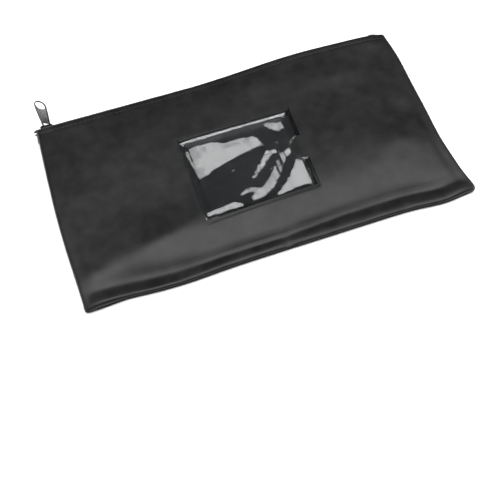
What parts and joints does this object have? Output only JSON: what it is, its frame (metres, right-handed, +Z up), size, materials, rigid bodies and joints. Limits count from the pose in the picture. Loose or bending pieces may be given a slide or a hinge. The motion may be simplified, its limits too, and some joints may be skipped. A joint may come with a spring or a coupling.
{
  "type": "cash deposit bag",
  "caption": "Flat zippered deposit bag in smooth leatherette with a clear card window, a coil zipper along its mouth, a slider and a ring pull.",
  "frame": {"origin": "centre of the back panel's flat resting face, with the bag lying on its back", "axes": "+X along the zipper away from the closed slider, +Y from the bottom seam to the mouth, +Z up out of the front panel"},
  "size_m": [0.2818, 0.1608, 0.0333],
  "materials": {
    "leatherette": "satin",
    "clear_vinyl": "gloss",
    "zipper_tape": "matte",
    "coil_nylon": "satin",
    "thread": "matte",
    "zipper_metal": "gloss"
  },
  "bodies": {
    "bag": {"front_panel": "leatherette", "back_panel": "leatherette", "card_window": "clear_vinyl", "front_zipper_tape": "zipper_tape", "back_zipper_tape": "zipper_tape", "front_coil": "coil_nylon", "back_coil": "coil_nylon", "front_coil_cord": "thread", "back_coil_cord": "thread", "front_coil_stitching": "thread", "back_coil_stitching": "thread", "front_topstitch": "thread", "back_topstitch": "thread", "left_seam_thread": "thread", "right_seam_thread": "thread", "bottom_seam_thread": "thread", "left_end_tack": "thread", "right_end_tack": "thread"},
    "slider": {"slider_body": "zipper_metal"},
    "pull": {"pull_tab": "zipper_metal"}
  },
  "joints": [
    {"name": "slider_travel", "type": "slide", "parent": "bag", "child": "slider", "axis": [1, 0, 0], "range_m": [0, 0.252], "deforming": ["front_coil", "back_coil", "front_coil_cord", "back_coil_cord", "front_coil_stitching", "back_coil_stitching"]},
    {"name": "pull_swing", "type": "hinge", "parent": "slider", "child": "pull", "pos_m": [-0.1329, 0.08265, 0.00595], "axis": [1, 0, 0], "range_deg": [-80, 5]}
  ]
}
